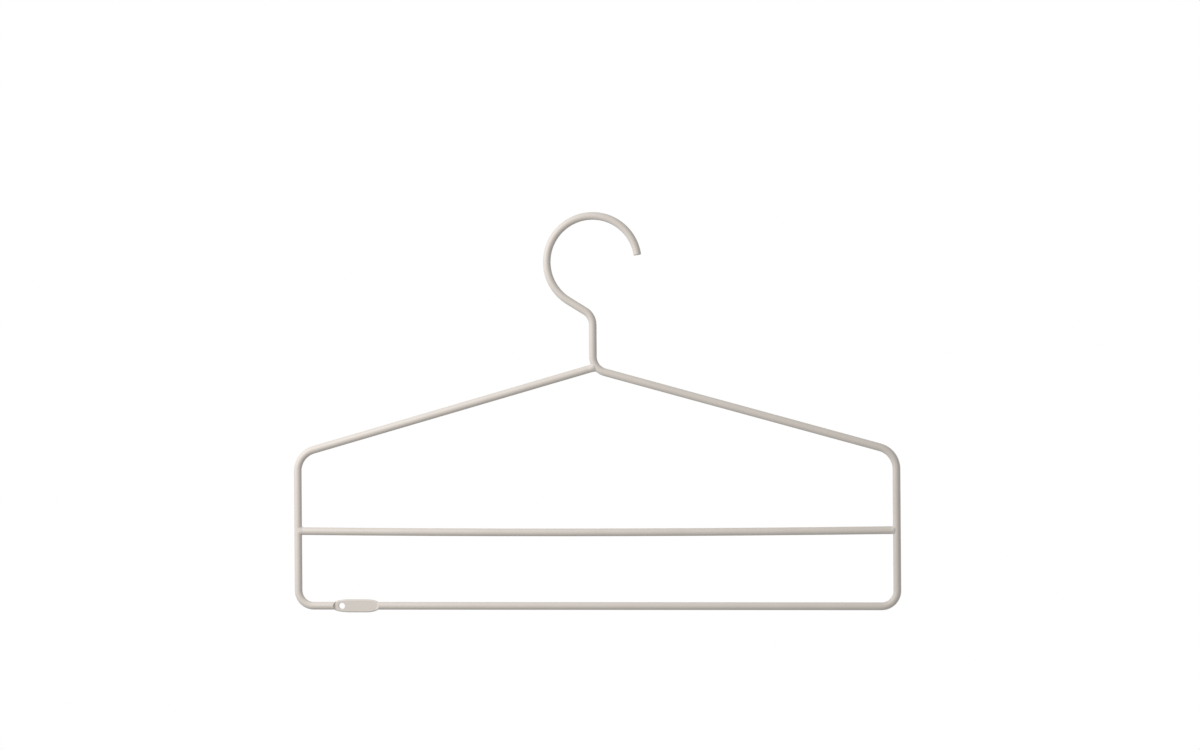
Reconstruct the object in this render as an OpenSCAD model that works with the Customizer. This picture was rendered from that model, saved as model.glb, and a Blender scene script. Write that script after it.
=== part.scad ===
// Trouser hanger of bent steel rod, hung by its hook.
// One rod runs from the hook's tip, down the neck, round the frame and back to the neck.
// A crossbar is butted between the side rods, and the rod is coined flat at a tag with a hole.
// The drawing plane is the hanger's own plane. Its first axis is X and its second is Z.
// The origin is the inner crown of the hook, where the hanger rests on a rail.

/* [Rod] */
// Diameter of the rod with its coat
rod_d = 5.2; // [4:0.1:6.6]
// How much thinner the rod is drawn where it is bent
bend_thinning = 0.02; // [0.01:0.01:0.06]
// How deep a butted rod end is melted into the rod that it meets
melt_depth = 1.2; // [0.8:0.1:1.6]
// Distance from a bend to the place beside it where the long rod is split into tubes
split_run = 2; // [1:0.5:4]

/* [Frame] */
// Width between the centre-lines of the two side rods
frame_w = 404.8; // [340:0.2:460]
// Fall of the shoulders from the neck outwards, in degrees
shoulder_fall = 15.6; // [8:0.2:24]
// Drop from the shoulders' outer corners to the bottom bar, at the centre-lines
side_drop = 102.8; // [85:0.2:140]
// Bend radius of the shoulders' outer corners, at the centre-line
shoulder_r = 15; // [8:0.5:24]
// Bend radius of the two bottom corners, at the centre-line
corner_r = 10.5; // [6:0.5:18]

/* [Crossbar] */
// Height of the crossbar's ends above the bottom bar, between centre-lines
crossbar_rise = 50.7; // [32:0.1:62]
// Sag of the crossbar at its middle
crossbar_sag = 1.2; // [0.6:0.1:4]

/* [Hook] */
// Radius of the hook, at the centre-line
hook_r = 30.8; // [24:0.1:40]
// Where the hook's tip ends, in degrees above the level of the hook's centre
tip_angle = 9; // [-20:1:45]
// Rounding of the tip's cut edge
tip_round = 0.7; // [0.3:0.1:1.2]
// Fall of the straight lead from the hook to the neck, in degrees
lead_fall = 32; // [24:1:40]

/* [Neck] */
// Length of the neck's straight stretch
neck_len = 21.4; // [10:0.1:60]
// Radius of the bends above and below the neck, at the centre-line
neck_r = 11; // [8:0.5:14]
// How much higher the left shoulder's end meets the neck than the right shoulder leaves it
butt_lift = 0.8; // [0:0.1:1.6]

/* [Tag] */
// Distance from the left side rod's centre-line to the middle of the tag's hole
hole_from_side = 29.9; // [26:0.1:60]
// Distance from the tag's left end to the middle of its hole
hole_inset = 5.6; // [5:0.1:9]
// Diameter of the tag's hole
hole_d = 4.2; // [3:0.1:5]
// Length of the tag, ramps left out
tag_len = 30.4; // [22:0.2:60]
// Width of the tag across its oval
tag_w = 8.9; // [7.6:0.1:12]
// Thickness of the tag's coined pad
tag_t = 2.2; // [1.6:0.1:3]
// Length over which the tag's left end widens
tag_left_flare = 7.2; // [4:0.1:9]
// Length over which the tag's right end widens
tag_right_flare = 5.2; // [3:0.1:9]
// Length of the ramp where the round rod is pressed down to the pad
tag_ramp = 1.2; // [0.8:0.1:3]

/* [Weld beads] */
// Length of a crossbar bead, along the side rod
bar_bead_len = 10.4; // [7.8:0.1:13]
// Length of the neck's bead, along the bend that the left shoulder meets
neck_bead_len = 7.6; // [6.8:0.1:10]
// How far a bead stands proud of the rods
bead_proud = 0.4; // [0.2:0.05:0.8]

/* [Hidden] */

rod_r = rod_d / 2;
side_x = frame_w / 2;

// The left shoulder falls more steeply, because its end is set higher against the neck
left_fall = atan(tan(shoulder_fall) + butt_lift / side_x);

// Turn of the rod at each bend, and the length that half of it takes off each straight stretch
shoulder_turn = 90 - shoulder_fall;
left_turn = 90 - left_fall;
lead_turn = 90 - lead_fall;
neck_top_cut = neck_r * tan(lead_turn / 2);
neck_low_cut = neck_r * tan(shoulder_turn / 2);
shoulder_cut = shoulder_r * tan(shoulder_turn / 2);
left_cut = shoulder_r * tan(left_turn / 2);

// Heights of the centre-line, from the hook downwards
hook_z = rod_r - hook_r;
lead_corner_z = hook_z - hook_r / cos(lead_fall);
neck_top_z = lead_corner_z - neck_top_cut;
neck_low_z = neck_top_z - neck_len;
apex_z = neck_low_z - neck_low_cut;
shoulder_z = apex_z - side_x * tan(shoulder_fall);
bottom_z = shoulder_z - side_drop;
crossbar_z = bottom_z + crossbar_rise;

// Corners of the centre-line, before they are rounded
lead_start = [-hook_r * sin(lead_fall), hook_z - hook_r * cos(lead_fall)];
lead_end = [0, lead_corner_z] + neck_top_cut * [-cos(lead_fall), sin(lead_fall)];
slope = [cos(shoulder_fall), -sin(shoulder_fall)];
shoulder_start = [0, apex_z] + neck_low_cut * slope;
shoulder_end = [side_x, shoulder_z] - shoulder_cut * slope;
side_top = [side_x, shoulder_z - shoulder_cut];
side_end = [side_x, bottom_z + corner_r];
left_slope = [-cos(left_fall), -sin(left_fall)];
left_apex = [0, apex_z + butt_lift];
left_shoulder_end = [-side_x, shoulder_z] - left_cut * left_slope;
left_side_top = [-side_x, shoulder_z - left_cut];

// Places where the long rod is split, each on a straight stretch close to a bend
neck_split = [0, neck_low_z + split_run];
right_split = shoulder_end - split_run * slope;
left_split = left_shoulder_end - split_run * left_slope;
bar_split = [side_x - corner_r - split_run, bottom_z];

// Ends of the tag's pad and of its ramps, along the bottom bar
hole_x = hole_from_side - side_x;
pad_left = hole_x - hole_inset;
pad_right = pad_left + tag_len;
tag_left = pad_left - tag_ramp;
tag_right = pad_right + tag_ramp;
pad_rise = tag_w / 2 - rod_r;

// Butted ends: the distance from the met rod's centre-line to the cut end
butt_gap = rod_r - melt_depth;
crossbar_end = side_x - butt_gap;

// The crossbar's sag, as an odd number of straight stretches between points on a parabola
sag_stretches = 9;
sag_points = [for (i = [0 : sag_stretches])
    let (share = 2 * i / sag_stretches - 1)
    [crossbar_end * share, crossbar_z - crossbar_sag * (1 - share * share)]];

// The left shoulder's centre-line meets the neck's lower bend at its outer side
bend_centre = [neck_r, neck_low_z];
to_bend = bend_centre - left_apex;
along_bend = to_bend * left_slope;
across_bend = sqrt(to_bend * to_bend - along_bend * along_bend);
bend_outer = neck_r + rod_r;
butt_start = along_bend + sqrt(bend_outer * bend_outer - across_bend * across_bend) - melt_depth;

// Smoothness of the round rod, its bends, the hook's tip and the weld beads
rod_fn = 48;
bend_fn = 120;
tip_steps = 5;
bead_steps = 9;
bead_fn = 40;

// The tag's loft: points round each section, and steps along each ramp and each flare
section_points = 24;
ramp_steps = 4;
flare_steps = 7;
// A section's points lie outside its true round, so that its flats have the true thickness
section_grow = 1 / cos(180 / section_points);
// How full a bead is: 2 is an ellipse, more is squarer
bead_fullness = 2.4;

coat = [0.84, 0.82, 0.79];
bead = [0.80, 0.78, 0.75];

// A straight stretch runs on into a bend by this much, round the thinner rod of the bend
lap = 0.2;

// Stands the drawing plane upright, with its second axis along Z
module upright() {
    rotate([90, 0, 0])
        children();
}

// Straight stretch of rod between two points of the drawing plane, with a lap into a bend at each end
module straight(from, to, lap_from = 0, lap_to = 0, d = rod_d) {
    run = to - from;
    translate(from)
        rotate(atan2(run[1], run[0]))
            translate([-lap_from, 0])
                rotate([0, 90, 0])
                    cylinder(h = lap_from + norm(run) + lap_to, d = d, $fn = rod_fn);
}

// Bend of rod round a centre, between two angles counted from the first axis
module bend(centre, radius, from, to) {
    translate(centre)
        rotate(from)
            rotate_extrude(angle = to - from, $fn = bend_fn)
                translate([radius, 0])
                    circle(d = rod_d - bend_thinning, $fn = rod_fn);
}

// Solid end of the hook's rod, with its cut edge rounded over
module rounded_tip() {
    edge = [for (i = [0 : tip_steps])
        let (a = 90 * i / tip_steps)
        [rod_r - tip_round + tip_round * cos(a), tip_round * sin(a)]];
    rotate([0, 90, 0])
        rotate_extrude($fn = rod_fn)
            polygon(concat([[0, -lap], [rod_r, -lap]], edge, [[0, tip_round]]));
}

module hook() {
    color(coat)
        upright() {
            translate([0, hook_z])
                rotate(tip_angle)
                    translate([hook_r, 0])
                        rotate(-90)
                            rounded_tip();
            bend([0, hook_z], hook_r, tip_angle, 270 - lead_fall);
            straight(lead_start, lead_end, lap, lap);
            bend([-neck_r, neck_top_z], neck_r, 0, lead_turn);
            straight([0, neck_top_z], neck_split, lap);
        }
}

// The neck's lower bend, drawn by itself because the left shoulder is fitted to it
module neck_low_bend() {
    bend(bend_centre, neck_r, 180, 180 + shoulder_turn);
}

module right_shoulder() {
    color(coat)
        upright() {
            straight(neck_split, [0, neck_low_z], 0, lap);
            neck_low_bend();
            straight(shoulder_start, right_split, lap);
        }
}

module right_side() {
    color(coat)
        upright() {
            straight(right_split, shoulder_end, 0, lap);
            bend([side_x - shoulder_r, side_top[1]], shoulder_r, 0, shoulder_turn);
            straight(side_top, side_end, lap, lap);
            bend([side_x - corner_r, side_end[1]], corner_r, -90, 0);
            straight([side_x - corner_r, bottom_z], bar_split, lap);
        }
}

module bottom_bar() {
    color(coat)
        upright()
            straight(bar_split, [tag_right, bottom_z]);
}

module left_side() {
    color(coat)
        upright() {
            straight([tag_left, bottom_z], [corner_r - side_x, bottom_z], 0, lap);
            bend([corner_r - side_x, side_end[1]], corner_r, 180, 270);
            straight([-side_x, side_end[1]], left_side_top, lap, lap);
            bend([shoulder_r - side_x, left_side_top[1]], shoulder_r, 180 - left_turn, 180);
            straight(left_shoulder_end, left_split, lap);
        }
}

// The left shoulder without the cut that fits it to the neck
module left_shoulder_rod() {
    straight(left_apex + butt_start * left_slope, left_split);
}

module left_shoulder() {
    color(coat)
        upright()
            difference() {
                left_shoulder_rod();
                neck_low_bend();
            }
}

// The crossbar without the cuts that fit its ends to the side rods.
// Every second stretch is the thinner rod, which the ones beside it lap over.
module crossbar_rod() {
    for (i = [0 : sag_stretches - 1]) {
        thinner = i % 2 == 1;
        straight(sag_points[i], sag_points[i + 1],
                 thinner || i == 0 ? 0 : lap,
                 thinner || i == sag_stretches - 1 ? 0 : lap,
                 thinner ? rod_d - bend_thinning : rod_d);
    }
}

module crossbar() {
    color(coat)
        upright()
            difference() {
                crossbar_rod();
                for (side = [-1, 1])
                    side_rod_at_crossbar(side);
            }
}

// The stretch of a side rod that a crossbar end is fitted to
module side_rod_at_crossbar(side) {
    straight([side * side_x, crossbar_z - bar_bead_len], [side * side_x, crossbar_z + bar_bead_len]);
}

// Half-width of the pad at a distance from its end, where it widens along an arc
function flare(distance, flare_len) =
    let (arc_r = (flare_len * flare_len + pad_rise * pad_rise) / (2 * pad_rise))
    tag_w / 2 - arc_r + sqrt(arc_r * arc_r - pow(max(flare_len - distance, 0), 2));

// Share of the pressing depth that is left at a share of the ramp's length
function ramp_share(t) = (1 + cos(180 * t)) / 2;

// Stations along the tag, each with its place, half-width and half-thickness
tag_stations = concat(
    [for (i = [0 : ramp_steps - 1])
        let (t = i / ramp_steps)
        [tag_left + tag_ramp * t, rod_r, tag_t / 2 + (rod_r - tag_t / 2) * ramp_share(t)]],
    [for (i = [0 : flare_steps])
        let (d = tag_left_flare * i / flare_steps)
        [pad_left + d, flare(d, tag_left_flare), tag_t / 2]],
    [for (i = [flare_steps : -1 : 0])
        let (d = tag_right_flare * i / flare_steps)
        [pad_right - d, flare(d, tag_right_flare), tag_t / 2]],
    [for (i = [ramp_steps - 1 : -1 : 0])
        let (t = i / ramp_steps)
        [tag_right - tag_ramp * t, rod_r, tag_t / 2 + (rod_r - tag_t / 2) * ramp_share(t)]]
);

// A section of the tag: a flat band with half-round edges, or the full round rod at the ends
function tag_section(station) = [for (i = [0 : section_points - 1])
    let (
        a = 360 * (i + 0.5) / section_points,
        edge_r = station[2] * section_grow,
        flat_half = station[1] - station[2],
        side = cos(a) > 0 ? 1 : -1
    )
    [station[0], side * flat_half + edge_r * cos(a), edge_r * sin(a)]];

// The coined stretch as one loft through its sections
module tag_loft() {
    last = len(tag_stations) - 1;
    n = section_points;
    walls = [for (k = [0 : last - 1], i = [0 : n - 1])
        let (j = (i + 1) % n)
        [k * n + i, k * n + j, (k + 1) * n + j, (k + 1) * n + i]];
    left_cap = [for (i = [n - 1 : -1 : 0]) i];
    right_cap = [for (i = [0 : n - 1]) last * n + i];
    polyhedron(
        points = [for (station = tag_stations) each tag_section(station)],
        faces = concat(walls, [left_cap], [right_cap])
    );
}

module tag() {
    color(coat)
        upright()
            difference() {
                translate([0, bottom_z])
                    tag_loft();
                translate([hole_x, bottom_z, -rod_d])
                    cylinder(h = 2 * rod_d, d = hole_d, $fn = rod_fn);
            }
}

// Weld metal before the rods are cut from it: a plump bead along the second axis
module bead_blob(length) {
    reach = rod_r + bead_proud;
    side = [for (i = [0 : bead_steps])
        let (a = 180 * i / bead_steps - 90)
        [reach * pow(cos(a), 2 / bead_fullness),
         sign(a) * length / 2 * pow(abs(sin(a)), 2 / bead_fullness)]];
    rotate([-90, 0, 0])
        rotate_extrude($fn = bead_fn)
            polygon(side);
}

module crossbar_weld(side) {
    color(bead)
        upright()
            difference() {
                translate([side * crossbar_end, crossbar_z])
                    bead_blob(bar_bead_len);
                side_rod_at_crossbar(side);
                crossbar_rod();
            }
}

module left_weld() {
    crossbar_weld(-1);
}

module right_weld() {
    crossbar_weld(1);
}

module neck_weld() {
    butt_point = left_apex + butt_start * left_slope;
    outwards = butt_point - bend_centre;
    color(bead)
        upright()
            difference() {
                translate(butt_point)
                    rotate(atan2(outwards[1], outwards[0]))
                        bead_blob(neck_bead_len);
                neck_low_bend();
                straight(shoulder_start, shoulder_end);
                left_shoulder_rod();
            }
}

hook();
right_shoulder();
right_side();
bottom_bar();
tag();
left_side();
left_shoulder();
crossbar();
neck_weld();
left_weld();
right_weld();
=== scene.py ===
# %% [markdown]
# # A trouser hanger of bent, powder-coated steel rod
#
# The hanger is one steel rod, five millimetres thick. It starts at the tip of an open hook, runs
# down a short neck, over the right shoulder, round a square lower frame and back up to the neck,
# where its cut end is welded on. A second rod is welded across the frame. Near the left end of the
# bottom bar the rod is pressed flat into a small oval tag with a hole. A matt, warm grey powder
# coat covers everything.
#
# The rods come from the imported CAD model, which already has their exact shape. This script gives
# them their finish, and makes in mesh code what a CAD solid says too plainly: the pressed tag with
# its soft, fat-edged coat, and the weld metal at the three joints.

import math

import bmesh
import bpy
from mathutils import Matrix, Vector


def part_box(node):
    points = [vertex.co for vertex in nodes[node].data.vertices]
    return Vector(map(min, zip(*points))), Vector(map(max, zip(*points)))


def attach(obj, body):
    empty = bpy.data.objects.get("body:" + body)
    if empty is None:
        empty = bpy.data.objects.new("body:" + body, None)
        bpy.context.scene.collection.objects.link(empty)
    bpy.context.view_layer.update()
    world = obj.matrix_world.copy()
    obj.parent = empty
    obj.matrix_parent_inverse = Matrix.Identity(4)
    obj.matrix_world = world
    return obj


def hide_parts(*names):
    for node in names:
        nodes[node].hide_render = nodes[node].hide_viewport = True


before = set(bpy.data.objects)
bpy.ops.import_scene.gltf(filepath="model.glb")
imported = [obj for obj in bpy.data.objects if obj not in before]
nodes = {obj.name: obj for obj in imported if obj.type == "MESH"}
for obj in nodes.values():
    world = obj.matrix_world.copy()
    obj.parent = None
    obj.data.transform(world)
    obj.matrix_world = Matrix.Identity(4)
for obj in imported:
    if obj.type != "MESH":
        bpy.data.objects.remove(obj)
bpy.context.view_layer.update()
print("CAD nodes:", ", ".join(sorted(nodes)))

# %% [markdown]
# ## The camera comes first
#
# Everything else is judged through the camera, so it is settled before any piece is made. The
# picture was taken from straight ahead and level, from about two metres away, a few degrees to the
# right of the hanger's front. That makes the right side of the frame look three hundredths taller
# than the left. The camera also leans by less than half a degree: it was set until the neck and
# the two side rods stood as upright in the picture as they do in the photograph.
#
# A camera could be aimed with a Track To constraint. Three vectors are plainer here: where it
# looks, what is to its right and what is up, which are the columns of its matrix.

# %% Place the camera
PICTURE = (1200, 750)
SENSOR = 36.0
FOCAL_PX = 2844.6
DISTANCE = 1.912
TURN = math.radians(6.0)
LEAN = math.radians(0.43)
AIM = Vector((0.0047, 0.0, -0.1044))
NEAREST, FARTHEST = 0.05, 30.0

forward = Vector((-math.sin(TURN), math.cos(TURN), 0.0))
level_right = Vector((math.cos(TURN), math.sin(TURN), 0.0))
level_up = Vector((0.0, 0.0, 1.0))
right = level_right * math.cos(LEAN) - level_up * math.sin(LEAN)
up = level_right * math.sin(LEAN) + level_up * math.cos(LEAN)

camera_data = bpy.data.cameras.new("camera")
camera_data.sensor_width = SENSOR
camera_data.lens = FOCAL_PX * SENSOR / PICTURE[0]
camera_data.clip_start = NEAREST
camera_data.clip_end = FARTHEST
camera = bpy.data.objects.new("camera", camera_data)
bpy.context.scene.collection.objects.link(camera)
turned = Matrix((right, up, -forward)).transposed().to_4x4()
camera.matrix_world = Matrix.Translation(AIM - DISTANCE * forward) @ turned
bpy.context.scene.camera = camera
print("camera at", [round(v, 4) for v in camera.matrix_world.translation],
      "with a lens of", round(camera_data.lens, 1), "mm")

# %% [markdown]
# ## The powder coat
#
# Powder coat is plastic paint, blown on as dust and melted in an oven. It is matt, it runs into a
# faint skin of hills and hollows about a millimetre wide, called orange peel, and it keeps a much
# finer grain. Its colour drifts by a hair from place to place.
#
# A picture of paint wrapped round the rod would need an unwrapped map and would stretch at every
# bend. Noise that is read straight from the object's own coordinates needs neither, and it runs on
# unbroken from one rod to the next, because all the pieces share one origin.


# %% A helper that builds the coat
DRIFT, PATCHES, HILLS, DUST = 55.0, 700.0, 950.0, 5200.0   # noise scales, per metre
HILL_HEIGHT = 0.0001
DUST_HEIGHT = 0.00002
SHEEN = 0.05
PALE = (0.700, 0.648, 0.595)
DEEP = (0.675, 0.624, 0.571)
DEEP_ON_WELD = (0.665, 0.613, 0.560)


def add(tree, kind, **inputs):
    """A new shader node of a kind, with some of its inputs set."""
    node = tree.nodes.new(kind)
    for name, value in inputs.items():
        node.inputs[name.replace("_", " ")].default_value = value
    return node


def powder_coat(name, pale, deep, roughness, peel, grain):
    """Matt powder coat: two near tones, a drifting roughness, orange peel and a fine grain."""
    material = bpy.data.materials.new(name)
    material.use_nodes = True
    tree = material.node_tree
    shader = tree.nodes["Principled BSDF"]
    shader.inputs["IOR"].default_value = 1.5
    where = add(tree, "ShaderNodeTexCoord")

    drift = add(tree, "ShaderNodeTexNoise", Scale=DRIFT, Detail=3.0, Roughness=0.55)
    tone = add(tree, "ShaderNodeValToRGB")
    tone.color_ramp.elements[0].position = 0.30
    tone.color_ramp.elements[0].color = (*deep, 1.0)
    tone.color_ramp.elements[1].position = 0.70
    tone.color_ramp.elements[1].color = (*pale, 1.0)
    tree.links.new(where.outputs["Object"], drift.inputs["Vector"])
    tree.links.new(drift.outputs["Fac"], tone.inputs["Fac"])
    tree.links.new(tone.outputs["Color"], shader.inputs["Base Color"])

    patch = add(tree, "ShaderNodeTexNoise", Scale=PATCHES, Detail=2.0)
    matt = add(tree, "ShaderNodeMapRange")
    matt.inputs["To Min"].default_value = roughness - SHEEN
    matt.inputs["To Max"].default_value = roughness + SHEEN
    tree.links.new(where.outputs["Object"], patch.inputs["Vector"])
    tree.links.new(patch.outputs["Fac"], matt.inputs["Value"])
    tree.links.new(matt.outputs["Result"], shader.inputs["Roughness"])

    hills = add(tree, "ShaderNodeTexNoise", Scale=HILLS, Detail=1.5)
    dust = add(tree, "ShaderNodeTexNoise", Scale=DUST, Detail=2.0)
    skin = add(tree, "ShaderNodeBump", Strength=peel, Distance=HILL_HEIGHT)
    fine = add(tree, "ShaderNodeBump", Strength=grain, Distance=DUST_HEIGHT)
    tree.links.new(where.outputs["Object"], hills.inputs["Vector"])
    tree.links.new(where.outputs["Object"], dust.inputs["Vector"])
    tree.links.new(hills.outputs["Fac"], skin.inputs["Height"])
    tree.links.new(dust.outputs["Fac"], fine.inputs["Height"])
    tree.links.new(skin.outputs["Normal"], fine.inputs["Normal"])
    tree.links.new(fine.outputs["Normal"], shader.inputs["Normal"])
    return material


print("orange peel:", round(1000 / HILLS, 2), "mm across; grain:", round(1000 / DUST, 2), "mm")

# %% Give every CAD node its coat
coat = powder_coat("coat", PALE, DEEP, roughness=0.50, peel=0.35, grain=0.5)
for node in nodes.values():
    node.data.materials.clear()
    node.data.materials.append(coat)
print("coated", len(nodes), "CAD nodes")

# %% [markdown]
# ## Skin over rings
#
# The tag and the weld beads are both long, smooth forms that change as they go. Such a form is a
# row of closed rings with skin stretched between neighbours, as a ship's hull is planked over its
# ribs. It could be sculpted or made with a subdivision cage, but then its size would be a guess.
# Rings that are worked out point by point keep every width where it was measured.


# %% A helper that skins rings
def skin(name, rings, closed=False):
    """A smooth mesh over rings of as many points each; its ends get flat caps, or join up."""
    form = bmesh.new()
    rows = [[form.verts.new(point) for point in ring] for ring in rings]
    count = len(rows[0])
    pairs = list(zip(rows, rows[1:])) + ([(rows[-1], rows[0])] if closed else [])
    for near, far in pairs:
        for i in range(count):
            j = (i + 1) % count
            form.faces.new((near[i], near[j], far[j], far[i]))
    if not closed:
        form.faces.new(rows[0][::-1])
        form.faces.new(rows[-1])
    for face in form.faces:
        face.smooth = len(face.verts) == 4
    bmesh.ops.recalc_face_normals(form, faces=form.faces)
    mesh = bpy.data.meshes.new(name)
    form.to_mesh(mesh)
    form.free()
    piece = bpy.data.objects.new(name, mesh)
    bpy.context.scene.collection.objects.link(piece)
    return piece


def millimetres(points):
    """The same points in metres, for a maker who thinks in millimetres."""
    return [(0.001 * x, 0.001 * y, 0.001 * z) for x, y, z in points]


print("a ring's points are given in mm and made in m:", millimetres([(1, 0, 0)])[0])

# %% [markdown]
# ## The pressed tag
#
# Near its left end the bottom bar was squeezed cold between two oval dies. The metal that had been
# five millimetres thick spread out into a flat pad nine millimetres wide and two thick, with free,
# half-round edges. The die's own rounded end left a steep little step where the round rod begins
# again. A hole was then punched through for a hang ring.
#
# The CAD solid has that size with plain ramps. Here the outline widens along an oval, the step
# follows the curve of the die's end, and the die has bitten a little deeper at the foot of the
# steep left step, which draws the dark crescent of the photograph. The coat is drawn up along the
# rim, as powder always is at an edge. The shape is a thickness over a plan: at each place along and
# across the tag a rule says how thick the metal is. The front and the back mirror each other.
#
# Every pair of values below is for the left end and the right end: how far inside the tag's end
# the outline starts to widen, over what length it widens, how far inside the step starts, how long
# the step is, and how deep the groove at its foot is.

# %% Measures of the tag
low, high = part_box("tag")
ROD_R = 2.6
BAR_Z = 1000 * (low.z + high.z) / 2
TAG_ENDS = (1000 * low.x, 1000 * high.x)
PAD_W = 500 * (high.z - low.z)
PAD_T = 1.1
RIM_POWER = 2.3
FAT, FAT_PLACE, FAT_WIDTH = 0.045, 0.75, 0.35
SHORES = (1.50, 1.35)
FLARES = (11.2, 8.0)
BOLDNESS = 0.96
STEPS = (0.95, 0.25)
RAMPS = (0.85, 1.50)
GROOVES = (0.25, 0.0)
GROOVE_WIDTH = 0.4
DIE_ROUND = 3.6
HOLE_X = -172.5
HOLE_R = 2.1
print("tag from", [round(v, 2) for v in TAG_ENDS], "mm, half as wide as", round(PAD_W, 2), "mm")


# %% Outline and thickness of the tag
def half_width(x):
    """Half the tag's width at a place along it: each end widens along part of an oval."""
    width = PAD_W
    for end, shore, flare in zip(TAG_ENDS, SHORES, FLARES):
        inside = max(abs(x - end) - shore, 0.0)
        short = BOLDNESS * max(1 - inside / flare, 0.0)
        drop = (1 - math.sqrt(1 - short * short)) / (1 - math.sqrt(1 - BOLDNESS ** 2))
        width = min(width, PAD_W - (PAD_W - ROD_R) * drop)
    return width


def ease(t, soft=0.18):
    """Zero below nought, one above one, and a straight rise between with a little softness."""
    t = min(max(t, 0.0), 1.0)
    if t > 0.5:
        return 1 - ease(1 - t, soft)
    return (t * t / 2 if t < soft else soft * (t - soft / 2)) / (soft * (1 - soft))


def half_thickness(x, z):
    """Half the thickness at a place along and across: round rod outside the die, pad inside it."""
    across = abs(z)
    edge = half_width(x)
    rod = ROD_R * math.sqrt(max(1 - (across / edge) ** 2, 0.0))
    rim = min(max((edge - across) / PAD_T, 0.0), 1.0)
    pad = PAD_T * (1 - (1 - rim) ** RIM_POWER) ** (1 / RIM_POWER)
    fat = FAT * math.exp(-((edge - across - FAT_PLACE) / FAT_WIDTH) ** 2)
    curve = DIE_ROUND - math.sqrt(DIE_ROUND ** 2 - min(across, ROD_R) ** 2)
    near = 0 if x - TAG_ENDS[0] < TAG_ENDS[1] - x else 1
    inside = abs(x - TAG_ENDS[near]) - STEPS[near] - curve
    pressed = ease(inside / RAMPS[near])
    bite = GROOVES[near] * math.exp(-((inside - RAMPS[near]) / GROOVE_WIDTH) ** 2)
    flat = max(min(pad + fat, PAD_T + FAT) - bite * min(2 * rim, 1.0), 0.0)
    return rod + (flat - rod) * pressed


print("at the hole the tag is", round(2 * half_width(HOLE_X), 2), "mm wide; its middle is",
      round(2 * half_thickness(sum(TAG_ENDS) / 2, 0.0), 2), "mm thick")

# %% Skin the tag
AROUND = 96
FINE, COARSE = 0.08, 0.3
FINE_REACH = 2.6


def tag_ring(x):
    """One ring round the tag, with its points set closer together near the two edges."""
    edge = half_width(x)
    ring = []
    for i in range(AROUND):
        turn = 2 * math.pi * i / AROUND
        z = edge * math.sin(turn)
        side = -1 if math.cos(turn) >= 0 else 1
        ring.append((x, side * half_thickness(x, z), BAR_Z + z))
    return millimetres(ring)


def tag_places():
    """Places along the tag: close together in the two steps, wider apart over the pad."""
    start, stop = TAG_ENDS
    places, x = [], start
    while x < stop - FINE / 4:
        places.append(x)
        near = min(x - start, stop - x)
        x += FINE if near < FINE_REACH else COARSE
    return places + [stop]


tag = skin("pressed_tag", [tag_ring(x) for x in tag_places()])
print("tag:", len(tag.data.vertices), "vertices over", len(tag_places()), "rings")

# %% [markdown]
# ## The punched hole
#
# A hole is cut with a Boolean, the computer's version of a punch. A straight cylinder would leave
# a knife-sharp rim, which no coated part has, so the punch is a spool: straight in the middle, and
# widening along a small arc where it leaves each face. What it leaves behind is a rounded lip.


# %% Punch the hole
PUNCH_SIDES = 64
LIP = 0.28
LIP_TURN = math.radians(78)
LIP_STEPS = 6
FLANGE = (0.5, 0.4)


def spool(x, z, radius, depth, lip):
    """Rings of a punch that widens by a lip at both faces of the pad."""
    profile = []
    for i in range(LIP_STEPS + 1):
        a = LIP_TURN * (1 - i / LIP_STEPS)
        profile.append((radius + lip * (1 - math.cos(a)), depth - lip + lip * math.sin(a)))
    wide = (profile[0][0] + FLANGE[0], profile[0][1] + FLANGE[1])
    half = [wide] + profile
    rings = []
    for r, d in half + [(r, -d) for r, d in reversed(half)]:
        turns = [2 * math.pi * k / PUNCH_SIDES for k in range(PUNCH_SIDES)]
        rings.append(millimetres([(x + r * math.cos(t), d, z + r * math.sin(t)) for t in turns]))
    return rings


punch = skin("punch", spool(HOLE_X, BAR_Z, HOLE_R, PAD_T, LIP))
cut = tag.modifiers.new("hole", "BOOLEAN")
cut.operation = "DIFFERENCE"
cut.solver = "EXACT"
cut.object = punch
bpy.context.view_layer.update()
worked_out = tag.evaluated_get(bpy.context.evaluated_depsgraph_get())
punched = bpy.data.meshes.new_from_object(worked_out)
tag.modifiers.clear()
tag.data = punched
bpy.data.objects.remove(punch)
print("punched tag:", len(tag.data.polygons), "faces")

# %% [markdown]
# ## Weld beads
#
# Where a rod's cut end butts against another rod, a bead of weld metal runs once round the joint.
# The welder's hand beats as it goes, so the bead swells a little many times over, and the powder
# coat rounds it off. On this hanger the beads are small. On top they are a hollow fillet in the
# corner, and at the front they close the gap between the straight cut end and the round rod.
#
# The CAD solid is a plump blob. Here the bead is a closed ring of skin. For every angle round the
# butted rod the script finds three points: the corner where the butted rod ends, the toe of the
# bead on the rod that is met, and the toe on the butted rod. A curve runs from toe to toe and is
# pulled towards the corner, or past it where the bead is full. The met surface is given as a
# distance rule, so a straight side rod and the bent neck are welded by the same lines of code.


# %% Distance rules of the met rods
NECK_R = 11.0
NECK_FOOT_Z = -92.016
RIGHT_FALL = math.radians(15.6)
NUDGE = 0.01


def post_distance(x):
    """Distance from an upright rod's surface, where x is where it stands."""
    return lambda p: math.hypot(p.x - x, p.y) - ROD_R


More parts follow.
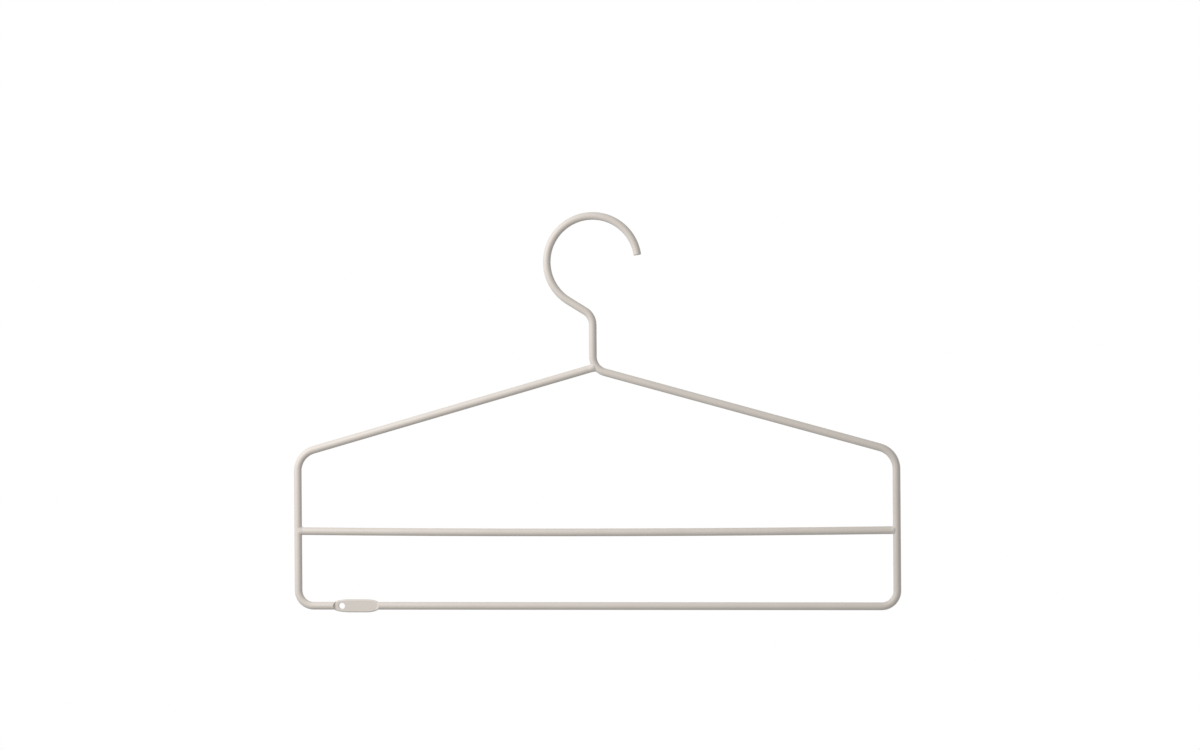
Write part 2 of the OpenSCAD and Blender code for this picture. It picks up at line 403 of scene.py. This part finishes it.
def neck_distance(p):
    """Distance from the rod that comes down the neck and bends off into the right shoulder."""
    x, z = p.x - NECK_R, p.z - NECK_FOOT_Z
    if z > 0:
        gap = x + NECK_R
    elif x * math.cos(RIGHT_FALL) > z * math.sin(RIGHT_FALL):
        gap = x * math.sin(RIGHT_FALL) + z * math.cos(RIGHT_FALL) + NECK_R
    else:
        gap = math.hypot(x, z) - NECK_R
    return math.hypot(gap, p.y) - ROD_R


def slope_at(distance, p):
    """The way that leads straight away from a surface."""
    nudges = [Vector(step) for step in ((NUDGE, 0, 0), (0, NUDGE, 0), (0, 0, NUDGE))]
    return Vector([distance(p + step) - distance(p - step) for step in nudges]).normalized()


def settle(distance, p, sink):
    """The point of a surface nearest to p, sunk a little below it."""
    for _ in range(4):
        p = p - distance(p) * slope_at(distance, p)
    return p - sink * slope_at(distance, p)


print("the neck's surface is", round(-neck_distance(Vector((0, 0, 0))), 2), "mm from its axis")

# %% A helper that lays a bead round a butted end
BEATS = 11
SWELL = 0.15
SINK = 0.05
REACH, MARCH = 9.0, 0.02
ROUND_STEPS, ARC_STEPS = 132, 12
ROOT_DEPTH, ROOT_SHIFT = 1.1, 0.2


def lay_bead(name, met, foot, along, cut, shape):
    """A weld bead round a rod that leaves foot along a direction and is cut off square near it.

    shape(angle, corner, out) gives the toe on the met rod, how far from foot the bead ends on the
    butted rod, and how far past the corner its curve is pulled."""
    across = Vector((0.0, 1.0, 0.0))
    upward = across.cross(along).normalized()
    if upward.z < 0:
        upward = -upward
    rings = []
    for i in range(ROUND_STEPS):
        angle = 2 * math.pi * i / ROUND_STEPS
        out = upward * math.cos(angle) + across * math.sin(angle)
        shell = foot + ROD_R * out
        far = REACH
        while far > cut and met(shell + far * along) > 0:
            far -= MARCH
        corner = shell + far * along
        toe_met, collar, pull = shape(angle, corner, out)
        toe_rod = shell + collar * along - SINK * out
        lean = (slope_at(met, toe_met) + out).normalized()
        bend = corner + pull * (1 + SWELL * math.cos(BEATS * angle)) * lean
        ring = []
        for k in range(ARC_STEPS + 1):
            t = k / ARC_STEPS
            ring.append((1 - t) ** 2 * toe_met + 2 * t * (1 - t) * bend + t * t * toe_rod)
        ring.append(corner - ROOT_DEPTH * lean + ROOT_SHIFT * along)
        rings.append(millimetres(ring))
    return skin(name, rings, closed=True)


print("each bead:", ROUND_STEPS, "rings of", ARC_STEPS + 2, "points, swelling", BEATS, "times")

# %% Beads of the crossbar
SIDE_X = 1000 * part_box("right_side")[1].x - ROD_R
BAR_FOOT_Z = 1000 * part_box("crossbar")[1].z - ROD_R
BAR_CUT = 1.4
FLUSH = 0.1


def squared(v):
    """Pushes a sine or cosine outwards, which turns a circle into a round-cornered square."""
    return math.copysign(math.sqrt(abs(v)), v)


def bar_shape(side, wrap, cap, collars, pulls):
    """A shape rule: wrap round the side rod in degrees, cap above the crossbar, and the collars and
    pulls of the bead at its top and at its face."""
    def shape(angle, corner, out):
        turn = math.radians(wrap) * squared(math.sin(angle))
        rise = ROD_R + (cap if math.cos(angle) > 0 else FLUSH)
        toe = Vector((side * (SIDE_X - (ROD_R - SINK) * math.cos(turn)),
                      (ROD_R - SINK) * math.sin(turn),
                      BAR_FOOT_Z + rise * squared(math.cos(angle))))
        face = math.sin(angle) ** 2
        return (toe, collars[0] + (collars[1] - collars[0]) * face,
                pulls[0] + (pulls[1] - pulls[0]) * face)
    return shape


BAR_BEADS = {"left_weld": (-1, bar_shape(-1, 92, 1.1, (3.7, 3.5), (0.1, 0.40))),
             "right_weld": (1, bar_shape(1, 66, 0.6, (3.4, 4.2), (0.1, 0.50)))}
beads = {}
for node, (side, shape) in BAR_BEADS.items():
    beads[node] = lay_bead(node.replace("weld", "bead"), post_distance(side * SIDE_X),
                           Vector((side * SIDE_X, 0.0, BAR_FOOT_Z)), Vector((-side, 0.0, 0.0)),
                           BAR_CUT, shape)
    print(node, "has", len(beads[node].data.vertices), "vertices")

# %% Bead of the neck
LEFT_FALL = math.radians(15.81)
LEFT_FOOT = Vector((0.0, 0.0, -99.566))
LEFT_WAY = Vector((-math.cos(LEFT_FALL), 0.0, -math.sin(LEFT_FALL)))
LEFT_CUT = -0.93
TOE_OUT, TOE_BACK = 0.45, 0.6
NECK_COLLAR = 3.4
NECK_PULLS = (0.05, 0.5)


def neck_shape(angle, corner, out):
    """A thin bead, which just fills the corner all round and runs on along the shoulder."""
    face = math.sin(angle) ** 2
    toe = settle(neck_distance, corner + TOE_OUT * out - TOE_BACK * LEFT_WAY, SINK)
    return toe, NECK_COLLAR, NECK_PULLS[0] + NECK_PULLS[1] * face


beads["neck_weld"] = lay_bead("neck_bead", neck_distance, LEFT_FOOT, LEFT_WAY, LEFT_CUT,
                              neck_shape)
print("neck_weld has", len(beads["neck_weld"].data.vertices), "vertices")

# %% Put the pieces in place of their CAD solids
coat_on_weld = powder_coat("coat_on_weld", PALE, DEEP_ON_WELD, roughness=0.46, peel=0.6, grain=0.5)
coat_on_tag = powder_coat("coat_on_tag", PALE, DEEP, roughness=0.52, peel=0.35, grain=0.5)
for node, piece in [("tag", tag), *beads.items()]:
    piece.data.materials.clear()
    piece.data.materials.append(coat_on_tag if node == "tag" else coat_on_weld)
    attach(piece, "root")
    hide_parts(node)
    print(piece.name, "stands for", node)

# %% [markdown]
# ## Floor, backdrop and light
#
# The hanger hangs in the air, a metre above a plain pale floor. The floor is small enough that the
# level camera looks over its far edge, so behind the hanger there is only the plain backdrop. A
# camera, a glossy face or a clear one sees that backdrop as pure white, while the soft light that
# it sends onto the object is turned down by a Light Path switch. So the background is white
# without washing out the coat.
#
# The rods are palest on their upper left and darkest on their lower right, with a smooth change
# between, which is the mark of one large, near, soft lamp. One is enough. A row of lamps would put
# more than one bright line on a round rod, and the photograph shows one.

# %% Floor
FLOOR_RADIUS = 3.0
FLOOR_Z = -1.25
FLOOR_TONE = (0.86, 0.86, 0.86, 1.0)

floor_mesh = bpy.data.meshes.new("floor")
floor_form = bmesh.new()
bmesh.ops.create_circle(floor_form, cap_ends=True, radius=FLOOR_RADIUS, segments=96)
floor_form.to_mesh(floor_mesh)
floor_form.free()
floor = bpy.data.objects.new("floor", floor_mesh)
floor.location = (0.0, 0.0, FLOOR_Z)
bpy.context.scene.collection.objects.link(floor)
floor_paint = bpy.data.materials.new("floor_paint")
floor_paint.use_nodes = True
floor_shader = floor_paint.node_tree.nodes["Principled BSDF"]
floor_shader.inputs["Base Color"].default_value = FLOOR_TONE
floor_shader.inputs["Roughness"].default_value = 0.9
floor_mesh.materials.append(floor_paint)

# %% Backdrop
SOFT_LEVEL = 0.42
WHITE = (1.0, 1.0, 1.0, 1.0)

world = bpy.data.worlds.new("backdrop")
bpy.context.scene.world = world
world.use_nodes = True
sky = world.node_tree
background = sky.nodes["Background"]
rays = sky.nodes.new("ShaderNodeLightPath")
level = sky.nodes.new("ShaderNodeMapRange")
level.inputs["To Min"].default_value = SOFT_LEVEL
level.inputs["To Max"].default_value = 1.0
seen = rays.outputs["Is Camera Ray"]
for kind in ("Is Glossy Ray", "Is Transmission Ray"):
    either = sky.nodes.new("ShaderNodeMath")
    either.operation = "MAXIMUM"
    sky.links.new(seen, either.inputs[0])
    sky.links.new(rays.outputs[kind], either.inputs[1])
    seen = either.outputs["Value"]
sky.links.new(seen, level.inputs["Value"])
sky.links.new(level.outputs["Result"], background.inputs["Strength"])
background.inputs["Color"].default_value = WHITE
print("the backdrop is seen at 1 and lights the hanger at", SOFT_LEVEL)


# %% Lamp
LAMP_PLACE = Vector((-0.65, -0.60, 0.30))
LAMP_SIZE = 0.6
LAMP_POWER = 7.6

lamp_data = bpy.data.lights.new("window_side", "AREA")
lamp_data.shape = "SQUARE"
lamp_data.size = LAMP_SIZE
lamp_data.energy = LAMP_POWER
lamp = bpy.data.objects.new("window_side", lamp_data)
lamp.location = LAMP_PLACE
lamp.rotation_mode = "QUATERNION"
lamp.rotation_quaternion = (AIM - LAMP_PLACE).to_track_quat("-Z", "Y")
bpy.context.scene.collection.objects.link(lamp)
print("a lamp of", LAMP_POWER, "W,", round((AIM - LAMP_PLACE).length, 2), "m from the hanger")

# %% [markdown]
# ## The view transform
#
# The picture is read as it is rendered, so the view transform is Standard, with nothing else
# changed.

# %% Set the view transform
bpy.context.scene.view_settings.view_transform = "Standard"
